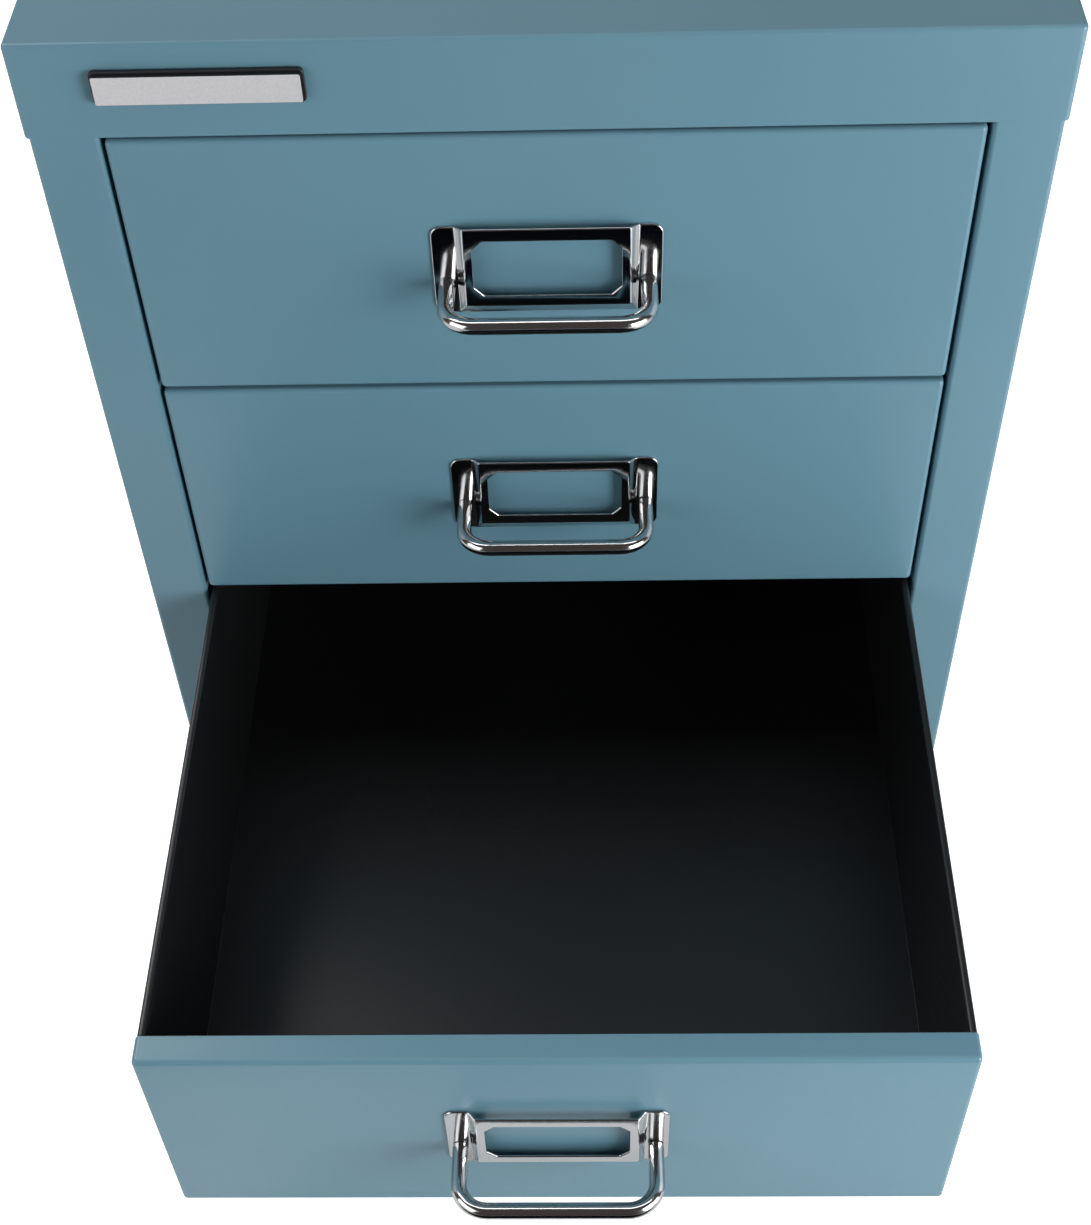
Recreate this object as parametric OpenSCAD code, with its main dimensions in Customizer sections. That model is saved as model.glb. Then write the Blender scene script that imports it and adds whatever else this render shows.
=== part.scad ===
// Desktop drawer cabinet of folded steel sheet, with three deep drawers.
// Each drawer has a chrome card frame and a fixed bow handle, and the bottom one stands open.
// Millimetres. Z is up, the fronts face -Y, and the origin is on the floor under the middle of the case.

/* [Case] */
// Width over the two side panels
case_w = 277.4; // [250:0.2:340]
// Depth from the faces of the front stiles to the rear flanges
case_d = 378.4; // [350:0.2:450]
// Sheet thickness of the sides, back, base and rails
case_t = 0.8; // [0.6:0.1:1.2]
// Inside radius of every fold in the sheet
fold_r = 0.6; // [0.4:0.1:1.2]
// Width of the stile on each side of the drawer opening
stile_w = 19; // [17:0.5:25]
// How far the inner edge of a stile folds back into the case
stile_return = 18; // [14:1:24]
// Width of the flange at the rear of each side panel
rear_flange_w = 14; // [8:1:24]
// Height of the rail under the bottom drawer
base_rail_h = 25.5; // [18:0.5:60]
// Height of the upturned edges of the base
base_edge_h = 12; // [6:1:16]

/* [Cap] */
// Sheet thickness of the cap
cap_t = 0.7; // [0.6:0.1:1.2]
// Height of the skirt round the cap
cap_skirt = 28; // [24:0.5:40]
// Radius of the cap's four upright corners
cap_corner_r = 1.6; // [1.4:0.1:2.2]
// Clearance between the cap and the case inside it
cap_fit = 0.1; // [0.05:0.05:0.3]

/* [Drawer fronts] */
// Height of each drawer front
face_h = 87.5; // [60:0.5:120]
// Gap above and below each drawer front
face_gap = 1.5; // [1:0.1:2.5]
// Gap between a drawer front and the stile beside it
face_side_gap = 1.2; // [0.8:0.1:2]
// How far a closed drawer front stands proud of the stiles
face_proud = 0.4; // [0:0.1:1]
// Depth of the folded edges round a drawer front
face_depth = 8.8; // [6:0.2:12]
// Sheet thickness of the drawer fronts
face_t = 0.9; // [0.7:0.1:1.2]
// Height of the flange that turns down behind the top edge of a front
face_flange_h = 9; // [5:1:14]

/* [Drawer trays] */
// Sheet thickness of the trays and their backs
tray_t = 0.7; // [0.6:0.1:1]
// Gap between a tray and the edge of the opening
tray_side_gap = 1.7; // [1.6:0.1:2.4]
// Height of a tray's underside above the bottom edge of its front
tray_lift = 5; // [4.6:0.1:8]
// Width of the hem along the top edges of a tray
hem_w = 2.4; // [2.2:0.1:4]
// How far the hem turns down again inside a tray
hem_drop = 4; // [3:0.5:8]
// Depth of the foot flange on a tray's back
back_foot = 10; // [6:1:20]
// Space between the closed trays and the rear of the case
rear_space = 22; // [20:1:40]
// How far a drawer runs from closed to its stop
drawer_travel = 280; // [200:5:290]
// How far the bottom drawer stands open
bottom_drawer_open = 179.4; // [0:0.1:200]

/* [Runners] */
// Sheet thickness of the runners
runner_t = 1.2; // [1:0.1:1.5]
// How far a runner's ledge reaches in under the tray
ledge_reach = 10; // [8:0.5:16]
// Height of the upright web of a runner
runner_web_h = 14; // [10:1:24]
// Gap between a tray and the web of its runner
web_gap = 1.2; // [1.1:0.1:1.8]
// Thickness of the nylon slides under a tray
slide_t = 1; // [0.6:0.1:1.4]
// Running gap between a moving piece and what it slides on
slide_gap = 0.3; // [0.2:0.05:0.4]
// Length of the nylon pad at the front of each runner
pad_l = 24; // [14:1:28]
// Length of the nylon slide under each rear corner of a tray
slide_l = 20; // [12:1:26]
// Height of the upright wings of the pads and slides
wing_h = 8; // [5:0.5:10]
// Length of the nylon stop clip on each rear corner of a tray
clip_l = 14; // [8:1:24]
// Depth of the stop clip's legs below the tray's rim
clip_leg = 9; // [6:1:14]
// Width of the tongue that stops a clip
stop_w = 6; // [4:0.5:7]
// Height of the upturned end at the rear of a runner
runner_end_h = 14; // [12:1:24]
// Thickness of the rubber buffer that a closed tray meets
buffer_t = 3; // [2:0.5:6]
// Diameter of the rubber buffer
buffer_d = 8; // [6:0.5:9]
// Sheet thickness of the posts
post_t = 1; // [0.8:0.1:1.5]
// Width of a post's web
post_w = 24; // [16:1:40]
// Width of a post's flanges
post_flange = 10; // [6:1:16]

/* [Card frame] */
// Sheet thickness of the chrome card frame
card_t = 0.8; // [0.6:0.1:1]
// Height of the raised plate in the middle of the card frame
card_h = 30.8; // [29:0.2:40]
// Height of the tabs at its ends
tab_h = 29.5; // [26:0.5:31]
// How far the tabs start below the top of the plate
tab_drop = 0.8; // [0:0.1:2]
// How far the frame's face stands off the drawer front
card_rise = 3.4; // [2.6:0.1:5]
// Run of the sloping step between a tab and the frame's face
step_run = 2.7; // [1.5:0.1:4]
// Height of the lower lip that slopes back to the drawer front
lip_h = 4.3; // [3:0.1:5]
// How far a tab reaches outside the centre of the handle's arm
tab_reach = 3.85; // [3.2:0.05:6]
// Radius of the tabs' outer corners
tab_r = 3; // [1.5:0.1:3.5]
// Width of the window
window_w = 42.3; // [30:0.1:44]
// Height of the window
window_h = 19; // [12:0.1:20]
// Distance from the top of the frame to the window
window_drop = 4.1; // [2.5:0.1:5]
// Cut across each corner of the window
window_cut = 3; // [1:0.1:6]

/* [Bow handle] */
// Distance between the centres of the handle's arms
handle_span = 57.8; // [56:0.2:90]
// Diameter of the handle's rod
handle_d = 4.8; // [4.4:0.1:6]
// Length of the handle's arms, from the drawer front to the middle of the bar
handle_reach = 22.4; // [18:0.2:30]
// Radius of the bends along the middle of the rod
handle_bend_r = 8.7; // [5:0.1:10]
// Distance from the top of the card frame to the roots of the arms
handle_drop = 20.5; // [15:0.1:22]
// Angle by which the arms rise outward
handle_tilt = 5; // [0:0.5:6]
// Diameter of the handle screws
screw_d = 3; // [2.5:0.1:3]
// Length of screw inside the handle
screw_grip = 5; // [4:0.5:5]
// Clearance round a screw, peg or stem in its hole
hole_fit = 0.15; // [0.1:0.05:0.2]
// Diameter of the screw heads
screw_head_d = 5.6; // [5:0.1:6.5]
// Height of the screw heads
screw_head_h = 2; // [1.5:0.1:3]
// Diameter of the holes that let a screwdriver reach the handle screws
access_d = 9; // [8:0.5:12]

/* [Badge] */
// Width of the blank badge
badge_w = 56.4; // [40:0.2:80]
// Height of the blank badge
badge_h = 9.8; // [8:0.1:14]
// Thickness of the badge's black carrier
badge_t = 1.6; // [1:0.1:3]
// Thickness of the badge's silver face
badge_face_t = 1.2; // [0.8:0.1:2]
// Width of carrier left showing round the silver face
badge_edge = 0.7; // [0.4:0.1:1.5]
// Corner radius of the badge
badge_r = 1.4; // [1:0.1:3]
// Distance from the left end of the cap to the badge
badge_inset = 21.5; // [21:0.5:60]
// Distance from the top of the cap to the badge
badge_drop = 7.3; // [5:0.1:12]
// Diameter of the badge's two pegs
badge_peg_d = 2.5; // [2:0.1:3.5]
// Distance of each peg from the badge's end
badge_peg_inset = 10; // [6:0.5:16]

/* [Feet] */
// Height of the feet
foot_h = 3; // [2:0.5:8]
// Diameter of the feet
foot_d = 18; // [14:1:26]
// Diameter of the stem that plugs a foot into the base
foot_stem_d = 7; // [5:0.5:10]
// Height of the bead that holds the stem above the base
foot_bead_h = 2; // [1.5:0.5:4]
// Distance from a foot's centre to the side of the case
foot_side = 34; // [33:1:60]
// Distance from a foot's centre to the front or rear of the case
foot_end = 40; // [32:1:80]

/* [Hidden] */

// Colours of the real finishes
TEAL = [0.39, 0.55, 0.60];
BLACK = [0.06, 0.06, 0.07];
ZINC = [0.70, 0.72, 0.74];
CHROME = [0.86, 0.87, 0.88];
SILVER = [0.80, 0.81, 0.82];
NYLON = [0.90, 0.89, 0.85];
RUBBER = [0.12, 0.12, 0.12];

// Counts and small lengths that the whole model shares
drawers = 3;
fold_steps = 5;
round_fn = 48;
joint_gap = 0.1;
cut = 1;
LEFT = -1;
RIGHT = 1;

// Levels, from the floor up
rail_top = foot_h + base_rail_h;
face_step = face_h + face_gap;
top_rail_bottom = rail_top + face_gap + drawers * face_step;
cap_top = top_rail_bottom + cap_skirt;
case_top = cap_top - cap_t - fold_r - cap_fit;

// Plan of the case, with the opening's half width and the depths that line up behind it
case_front = -case_d / 2;
case_back = case_d / 2;
case_half = case_w / 2;
wall_in = case_half - case_t;
opening_half = case_half - stile_w;
cap_proud = cap_t + cap_fit;
cap_front = case_front - cap_proud;
cap_half = case_half + cap_proud;
behind_stiles = case_front + stile_return + slide_gap;
back_face = case_back - case_t;

// Drawer fronts and trays, closed
face_half = opening_half - face_side_gap;
face_front = case_front - face_proud;
tray_front = face_front + face_depth;
tray_rear = case_back - rear_space;
tray_half = opening_half - tray_side_gap;
rim_up = face_h - tray_lift;
back_half = tray_half - 1.5 * tray_t;

// Runners: the ledge lies under the slides, and the web stands outside the tray
ledge_drop = slide_t + slide_gap;
ledge_in = tray_half - ledge_reach;
web_in = tray_half + web_gap;
web_out = web_in + runner_t;
runner_rear = tray_rear + slide_gap + buffer_t + runner_t;
ledge_above_rim = face_gap + tray_lift - ledge_drop - runner_t;
clip_h = ledge_above_rim - slide_gap;
stop_drop = ledge_above_rim - slide_gap - slide_gap;
clip_rear = tray_rear - hem_w - joint_gap;
clip_front = clip_rear - clip_l;
stop_rear = clip_front - drawer_travel - slide_gap;
stop_x = tray_half - stop_w / 2;
buffer_x = ledge_in + buffer_d / 2 + joint_gap;
buffer_up = buffer_d / 2 + 1.5 * slide_t;
buffer_stem_d = buffer_d / 2;
wing_t = web_gap - slide_gap;
front_post_y = behind_stiles + case_t + fold_r + joint_gap + post_flange + post_w / 2;
rear_post_y = runner_rear - post_flange - post_w / 2;

// Card frame and handle, from the drawer face out
arm_x = handle_span / 2;
step_foot = arm_x - handle_d / 2 - joint_gap;
step_head = step_foot - step_run;
tab_half = arm_x + tab_reach;
card_top = (face_h + card_h) / 2;
handle_up = card_top - handle_drop;
screw_hole_d = screw_d + 2 * hole_fit;

// Badge, on the cap's skirt
badge_left = badge_inset - cap_half;
badge_mid = badge_left + badge_w / 2;
badge_up = cap_top - badge_drop - badge_h / 2;
badge_peg_x = badge_w / 2 - badge_peg_inset;
badge_peg_l = cap_proud + case_t + 3;
badge_hole_d = badge_peg_d + 2 * hole_fit;

function face_bottom(n) = rail_top + face_gap + (drawers - n) * face_step;
function tray_floor(n) = face_bottom(n) + tray_lift;
function ledge_top(n) = tray_floor(n) - ledge_drop;
function opened(n) = n == drawers ? bottom_drawer_open : 0;

// ---- Folded sheet ----

// Unit normal to the left of the way from a to b
function left_normal(a, b) = [a[1] - b[1], b[0] - a[0]] / norm(b - a);

// One fold at b, between the stretches a-b and b-c: the arc that runs off to the left of the path
function fold_arc(a, b, c, t, r, off) =
    let (n1 = left_normal(a, b), n2 = left_normal(b, c),
         lean = n1[0] * n2[1] - n1[1] * n2[0],
         side = lean > 0 ? 1 : -1,
         path_r = r + max(side * t, 0),
         centre = b + side * path_r * (n1 + n2) / (1 + n1 * n2),
         from = atan2(n1[1], n1[0]),
         turn = atan2(lean, n1 * n2))
    [for (k = [0:fold_steps])
        let (angle = from + turn * k / fold_steps)
        centre - side * (path_r - side * off) * [cos(angle), sin(angle)]];

// One side of a folded strip: the path itself where off is 0, or the line that far to its left
function strip_side(path, t, r, off) =
    let (last = len(path) - 1)
    concat(
        [path[0] + off * left_normal(path[0], path[1])],
        [for (i = [1:last - 1]) each fold_arc(path[i - 1], path[i], path[i + 1], t, r, off)],
        [path[last] + off * left_normal(path[last - 1], path[last])]);

// Section of a strip of sheet, t thick, that follows the path with its thickness to the left
function strip(path, t, r) =
    let (far = strip_side(path, t, r, t))
    concat(strip_side(path, t, r, 0), [for (i = [len(far) - 1:-1:0]) far[i]]);

// Quarter of a circle, from the angle on
function quarter(centre, r, from) =
    [for (k = [0:fold_steps])
        let (angle = from + 90 * k / fold_steps)
        centre + r * [cos(angle), sin(angle)]];

// Rectangle w by h about the origin, with round corners
function round_rect(w, h, r) =
    let (x = w / 2 - r, y = h / 2 - r)
    concat(quarter([x, y], r, 0), quarter([-x, y], r, 90),
           quarter([-x, -y], r, 180), quarter([x, -y], r, 270));

// Rectangle w wide and d deep with its two front corners round
function round_front(w, d, r) =
    let (x = w / 2 - r)
    concat([[w / 2, d], [-w / 2, d]], quarter([-x, r], r, 180), quarter([x, r], r, 270));

// Sections drawn in x and y, y and z, or x and z, and run along the axis that is left
module along_z(low, high)
    translate([0, 0, low])
        linear_extrude(high - low)
            children();

module along_x(low, high)
    translate([low, 0, 0])
        rotate([90, 0, 90])
            linear_extrude(high - low)
                children();

module along_y(low, high)
    translate([0, high, 0])
        rotate([90, 0, 0])
            linear_extrude(high - low)
                children();

// Round rod or hole from one y to another
module rod_y(x, low, high, z, d)
    translate([x, high, z])
        rotate([90, 0, 0])
            cylinder(d = d, h = high - low, $fn = round_fn);

// Draws a right-hand piece as it is, or its mirror image on the left
module on(side)
    mirror([side < 0 ? 1 : 0, 0, 0])
        children();

// Block with its front at y = 0 and its middle at x = z = 0, round at the front edges and corners
module pan_block(w, h, d, edge_r, corner_r)
    intersection() {
        along_z(-h / 2, h / 2)
            polygon(round_front(w, d, edge_r));
        along_x(-w / 2, w / 2)
            polygon([for (p = round_front(h, d, edge_r)) [p[1], p[0]]]);
        along_y(0, d)
            polygon(round_rect(w, h, corner_r));
    }

// Sheet folded back on all four sides into a pan that is open at the rear
module pan(w, h, d, t, corner_r)
    difference() {
        pan_block(w, h, d, fold_r + t, corner_r);
        translate([0, t, 0])
            pan_block(w - 2 * t, h - 2 * t, d, fold_r, corner_r - t);
    }

// ---- Case ----

module top_cap()
    color(TEAL)
        difference() {
            translate([0, 0, cap_top])
                rotate([-90, 0, 0])
                    pan(2 * cap_half, case_d + 2 * cap_proud, cap_skirt, cap_t, cap_corner_r);
            badge_holes();
        }

// One sheet: the stile's return, the stile, the side wall and the rear flange
module side_panel(side)
    color(TEAL)
        on(side)
            along_z(foot_h, case_top)
                polygon(strip([
                    [opening_half, case_front + stile_return],
                    [opening_half, case_front],
                    [case_half, case_front],
                    [case_half, case_back],
                    [case_half - rear_flange_w, case_back]], case_t, fold_r));

module back_panel()
    color(TEAL)
        translate([fold_r + joint_gap - wall_in, back_face - case_t, foot_h])
            cube([2 * (wall_in - fold_r - joint_gap), case_t, case_top - foot_h]);

// Floor of the case, turned up at the front and rear and pierced for the feet
module base_pan()
    color(TEAL)
        difference() {
            along_x(joint_gap - wall_in, wall_in - joint_gap)
                polygon(strip([
                    [behind_stiles, foot_h + base_edge_h],
                    [behind_stiles, foot_h],
                    [back_face - case_t - fold_r, foot_h],
                    [back_face - case_t - fold_r, foot_h + base_edge_h]], case_t, fold_r));
            for (side = [LEFT, RIGHT], end = [case_front + foot_end, case_back - foot_end])
                translate([side * (case_half - foot_side), end, foot_h - cut])
                    cylinder(d = foot_stem_d + 2 * hole_fit, h = case_t + 2 * cut, $fn = round_fn);
        }

// Channel between the stiles, open to the rear
module rail(low, high)
    along_x(joint_gap - opening_half, opening_half - joint_gap)
        polygon(strip([
            [case_front + stile_return, low],
            [case_front, low],
            [case_front, high],
            [case_front + stile_return, high]], -case_t, fold_r));

module base_rail()
    color(TEAL)
        rail(foot_h, rail_top);

module top_rail()
    color(TEAL)
        difference() {
            rail(top_rail_bottom, case_top);
            badge_holes();
        }

// Hat-shaped upright that carries the runners, welded to the side wall by its flanges
module post(side, middle)
    color(BLACK)
        on(side)
            along_z(foot_h + case_t, case_top)
                polygon(strip([
                    [wall_in, middle - post_w / 2 - post_flange],
                    [wall_in, middle - post_w / 2],
                    [web_out + post_t, middle - post_w / 2],
                    [web_out + post_t, middle + post_w / 2],
                    [wall_in, middle + post_w / 2],
                    [wall_in, middle + post_w / 2 + post_flange]], post_t, fold_r));

// ---- Runners ----

// Angle section with a tongue pressed down to stop the clip of the drawer below
module ledge_strip(top, rear)
    difference() {
        union() {
            along_y(behind_stiles, rear)
                polygon(strip([
                    [ledge_in, top - runner_t],
                    [web_out, top - runner_t],
                    [web_out, top - runner_t + runner_web_h]], runner_t, fold_r));
            translate([stop_x - stop_w / 2, stop_rear - runner_t, top - runner_t - stop_drop])
                cube([stop_w, runner_t, stop_drop + runner_t]);
        }
        translate([stop_x - stop_w / 2, stop_rear - runner_t - stop_drop, top - runner_t - cut])
            cube([stop_w, stop_drop, runner_t + 2 * cut]);
    }

// Runner with its rear end turned up to hold the buffer
module runner(n, side)
    color(ZINC)
        on(side)
            difference() {
                union() {
                    ledge_strip(ledge_top(n), runner_rear);
                    translate([ledge_in, runner_rear - runner_t, ledge_top(n) - runner_t])
                        cube([web_out - ledge_in - runner_t / 2, runner_t, runner_end_h]);
                }
                rod_y(buffer_x, runner_rear - runner_t - cut, runner_rear + cut,
                      ledge_top(n) + buffer_up, buffer_stem_d + 2 * hole_fit);
            }

module top_guide(side)
    color(ZINC)
        on(side)
            ledge_strip(ledge_top(0), runner_rear);

// Nylon pads on the noses of the runners: the trays slide on them and between their wings
module runner_pads()
    color(NYLON)
        for (n = [1:drawers], side = [LEFT, RIGHT])
            on(side)
                along_y(behind_stiles, behind_stiles + pad_l)
                    polygon([
                        [ledge_in, ledge_top(n)],
                        [web_in - fold_r, ledge_top(n)],
                        [web_in, ledge_top(n) + fold_r],
                        [web_in, ledge_top(n) + slide_t + wing_h],
                        [web_in - wing_t, ledge_top(n) + slide_t + wing_h],
                        [web_in - wing_t, ledge_top(n) + slide_t],
                        [ledge_in, ledge_top(n) + slide_t]]);

// Rubber buffers, each with a stem through the runner's upturned end and a bead behind it
module closing_buffers()
    color(RUBBER)
        for (n = [1:drawers], side = [LEFT, RIGHT])
            on(side) {
                z = ledge_top(n) + buffer_up;
                front = tray_rear + slide_gap;
                rod_y(buffer_x, front, front + buffer_t, z, buffer_d);
                rod_y(buffer_x, front, runner_rear + runner_t, z, buffer_stem_d);
                rod_y(buffer_x, runner_rear + joint_gap, runner_rear + runner_t, z,
                      buffer_stem_d + 4 * hole_fit);
            }

// ---- Feet ----

// Rubber foot plugged up through the base, held by a bead above the sheet
module foot(side, y)
    color(RUBBER)
        translate([side * (case_half - foot_side), y, 0]) {
            cylinder(d = foot_d, h = foot_h, $fn = round_fn);
            cylinder(d = foot_stem_d, h = foot_h + case_t + joint_gap + foot_bead_h, $fn = round_fn);
            translate([0, 0, foot_h + case_t + joint_gap])
                cylinder(d1 = foot_stem_d + 6 * hole_fit, d2 = foot_stem_d, h = foot_bead_h,
                         $fn = round_fn);
        }

// ---- Badge ----

module badge_pegs(d, low, high)
    for (side = [LEFT, RIGHT])
        rod_y(badge_mid + side * badge_peg_x, low, high, badge_up, d);

module badge_holes()
    badge_pegs(badge_hole_d, cap_front - cut, case_front + case_t + cut);

// Blank carrier in black plastic, with two pegs through the cap's skirt and the rail behind it
module badge_carrier()
    color(BLACK) {
        translate([badge_mid, cap_front - badge_t, badge_up])
            pan_block(badge_w, badge_h, badge_t, badge_r / 2, badge_r);
        badge_pegs(badge_peg_d, cap_front - joint_gap, cap_front + badge_peg_l);
    }

module badge_face()
    color(SILVER)
        translate([badge_mid, cap_front - badge_t - badge_face_t, badge_up])
            pan_block(badge_w - 2 * badge_edge, badge_h - 2 * badge_edge, badge_face_t,
                      badge_r / 4, badge_r - badge_edge);

// Push-on spring washers that hold the pegs behind the top rail
module badge_retainers()
    color(ZINC)
        difference() {
            badge_pegs(3 * badge_peg_d, case_front + case_t, case_front + case_t + runner_t);
            badge_pegs(badge_peg_d + joint_gap, case_front, case_front + case_t + 2 * runner_t);
        }

// ---- Drawers ----

// Puts a piece drawn for a closed front with its lower edge at z = 0 where drawer n stands
module in_drawer(n)
    translate([0, -opened(n), face_bottom(n)])
        children();

module handle_holes(d, low, high)
    for (side = [LEFT, RIGHT])
        rod_y(side * arm_x, low, high, handle_up, d);

// Painted front: a pan, with a flange turned down behind its top edge
module drawer_front(n)
    color(TEAL)
        in_drawer(n)
            difference() {
                union() {
                    translate([0, face_front, face_h / 2])
                        pan(2 * face_half, face_h, face_depth, face_t, fold_r + face_t);
                    translate([face_t - face_half, tray_front - face_t, face_h - face_t - face_flange_h])
                        cube([2 * (face_half - face_t), face_t, face_flange_h + face_t / 2]);
                }
                handle_holes(screw_hole_d, face_front - cut, face_front + face_t + cut);
            }

// Floor and two hemmed sides folded from one sheet, with the front wall behind the painted front
module drawer_tray(n)
    color(BLACK)
        in_drawer(n)
            difference() {
                union() {
                    along_y(tray_front, tray_rear)
                        polygon(strip([
                            [hem_w - tray_half, face_h - hem_drop],
                            [hem_w - tray_half, face_h],
                            [-tray_half, face_h],
                            [-tray_half, tray_lift],
                            [tray_half, tray_lift],
                            [tray_half, face_h],
                            [tray_half - hem_w, face_h],
                            [tray_half - hem_w, face_h - hem_drop]], tray_t, tray_t / 2));
                    translate([-tray_half + tray_t / 2, tray_front, tray_lift + tray_t / 2])
                        cube([2 * tray_half - tray_t, tray_t, rim_up - 2 * tray_t]);
                }
                handle_holes(access_d, tray_front - cut, tray_front + tray_t + cut);
            }

// Rear wall, hemmed like the sides, footed on the floor of the tray and notched round its hems
module drawer_back(n)
    color(BLACK)
        in_drawer(n)
            difference() {
                along_x(-back_half, back_half)
                    polygon(strip([
                        [tray_rear - back_foot, tray_lift + tray_t],
                        [tray_rear, tray_lift + tray_t],
                        [tray_rear, face_h],
                        [tray_rear - hem_w, face_h],
                        [tray_rear - hem_w, face_h - hem_drop]], tray_t, tray_t / 2));
                for (side = [LEFT, RIGHT])
                    on(side)
                        translate([tray_half - hem_w - joint_gap, tray_rear - hem_w - cut,
                                   face_h - hem_drop - joint_gap])
                            cube([hem_w, hem_w + 2 * cut, hem_drop + cut]);
            }

// Raised part of the card frame, or the card's space inside it where inset is the sheet
module card_body(inset, top)
    intersection() {
        along_z(-card_h, card_h)
            polygon([
                [-step_foot + inset, cut],
                [-step_foot + inset, 0],
                [-step_head + inset, inset - card_rise],
                [step_head - inset, inset - card_rise],
                [step_foot - inset, 0],
                [step_foot - inset, cut]]);
        along_x(-tab_half, tab_half)
            polygon([
                [0, inset - card_h],
                [inset - card_rise, lip_h + inset - card_h],
                [inset - card_rise, top],
                [cut, top],
                [cut, inset - card_h]]);
    }

// Eight-sided window, drawn about its own middle
module card_window() {
    x = window_w / 2;
    z = window_h / 2;
    polygon([[window_cut - x, -z], [x - window_cut, -z], [x, window_cut - z], [x, z - window_cut],
             [x - window_cut, z], [window_cut - x, z], [-x, z - window_cut], [-x, window_cut - z]]);
}

// Chrome plate with a tab under each arm of the handle, raised between them to hold a card
module card_frame(n)
    color(CHROME)
        in_drawer(n)
            translate([0, face_front, card_top])
                difference() {
                    union() {
                        along_y(-card_t, 0)
                            translate([0, -tab_drop - tab_h / 2])
                                polygon(round_rect(2 * tab_half, tab_h, tab_r));
                        intersection() {
                            card_body(0, 0);
                            along_y(-card_rise, 0)
                                polygon([
                                    [-step_foot, -card_h],
                                    [-step_foot, -tab_drop],
                                    [-step_head, 0],
                                    [step_head, 0],
                                    [step_foot, -tab_drop],
                                    [step_foot, -card_h]]);
                        }
                    }
                    card_body(card_t, cut);
                    along_y(-card_rise - cut, 0)
                        translate([0, -window_drop - window_h / 2])
                            card_window();
                    translate([0, 0, -card_top])
                        for (side = [LEFT, RIGHT])
                            rod_y(side * arm_x, -card_rise, cut, handle_up, screw_hole_d);
                }

// Half of the bow, drawn level: an arm, a bend, and the bar out to the middle
module handle_half() {
    bend = handle_reach - handle_bend_r;
    rod_y(arm_x, -bend, 0, 0, handle_d);
    translate([arm_x - handle_bend_r, -bend, 0])
        rotate([0, 0, -90])
            rotate_extrude(angle = 90, $fn = round_fn)
                translate([handle_bend_r, 0])
                    circle(d = handle_d, $fn = round_fn);
    translate([-cut / 2, -handle_reach, 0])
        rotate([0, 90, 0])
            cylinder(d = handle_d, h = arm_x - handle_bend_r + cut / 2, $fn = round_fn);
}

// Chromed rod bent into a bow that rises outward, its arms cut flush on the tabs and tapped for screws
module handle(n)
    color(CHROME)
        in_drawer(n)
            translate([0, face_front, handle_up])
                difference() {
                    rotate([-handle_tilt, 0, 0])
                        union() {
                            handle_half();
                            mirror([1, 0, 0])
                                handle_half();
                        }
                    translate([-tab_half, -card_t - joint_gap / 2, -handle_d])
                        cube([2 * tab_half, handle_d, 2 * handle_d]);
                    for (side = [LEFT, RIGHT])
                        rod_y(side * arm_x, -card_t - screw_grip - cut, 0, 0, screw_d + hole_fit);
                }

// Pan-head screws from inside the front, through the sheet and the card frame's tabs
module handle_screws(n)
    color(ZINC)
        in_drawer(n) {
            handle_holes(screw_d, face_front - card_t - screw_grip, face_front + face_t + cut);
            handle_holes(screw_head_d, face_front + face_t, face_front + face_t + screw_head_h);
        }

// Nylon slides under the rear corners of the tray, with wings beside it
module drawer_slides(n)
    color(NYLON)
        in_drawer(n)
            for (side = [LEFT, RIGHT])
                on(side)
                    along_y(tray_rear - slide_l, tray_rear)
                        polygon([
                            [ledge_in + fold_r, tray_lift - slide_t],
                            [tray_half, tray_lift - slide_t],
                            [tray_half + wing_t, tray_lift - slide_t + wing_t],
                            [tray_half + wing_t, tray_lift + wing_h],
                            [tray_half, tray_lift + wing_h],
                            [tray_half, tray_lift],
                            [ledge_in + fold_r, tray_lift]]);

// Nylon clips that straddle the hems and meet the tongues above when the drawer is fully out
module stop_clips(n)
    color(NYLON)
        in_drawer(n)
            for (side = [LEFT, RIGHT])
                on(side)
                    along_y(clip_front, clip_rear)
                        polygon([
                            [tray_half - hem_w - wing_t, face_h - clip_leg],
                            [tray_half - hem_w - joint_gap, face_h - clip_leg],
                            [tray_half - hem_w - joint_gap, face_h + joint_gap],
                            [tray_half, face_h + joint_gap],
                            [tray_half, face_h - clip_leg],
                            [tray_half + wing_t, face_h - clip_leg],
                            [tray_half + wing_t, face_h + clip_h],
                            [tray_half - hem_w - wing_t, face_h + clip_h]]);

top_cap();
side_panel(LEFT);  // left_side
side_panel(RIGHT);  // right_side
back_panel();
base_pan();
base_rail();
top_rail();
post(LEFT, front_post_y);  // front_left_post
post(RIGHT, front_post_y);  // front_right_post
post(LEFT, rear_post_y);  // rear_left_post
post(RIGHT, rear_post_y);  // rear_right_post
runner(1, LEFT);  // runner_1_left
runner(1, RIGHT);  // runner_1_right
runner(2, LEFT);  // runner_2_left
runner(2, RIGHT);  // runner_2_right
runner(3, LEFT);  // runner_3_left
runner(3, RIGHT);  // runner_3_right
top_guide(LEFT);  // top_guide_left
top_guide(RIGHT);  // top_guide_right
runner_pads();
closing_buffers();
foot(LEFT, case_front + foot_end);  // front_left_foot
foot(RIGHT, case_front + foot_end);  // front_right_foot
foot(LEFT, case_back - foot_end);  // rear_left_foot
foot(RIGHT, case_back - foot_end);  // rear_right_foot
badge_carrier();
badge_face();
badge_retainers();
drawer_front(1);  // drawer_1_front
drawer_tray(1);  // drawer_1_tray
drawer_back(1);  // drawer_1_back
card_frame(1);  // drawer_1_card_frame
handle(1);  // drawer_1_handle
handle_screws(1);  // drawer_1_handle_screws
drawer_slides(1);  // drawer_1_slides
stop_clips(1);  // drawer_1_stop_clips
drawer_front(2);  // drawer_2_front
drawer_tray(2);  // drawer_2_tray
drawer_back(2);  // drawer_2_back
card_frame(2);  // drawer_2_card_frame
handle(2);  // drawer_2_handle
handle_screws(2);  // drawer_2_handle_screws
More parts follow.
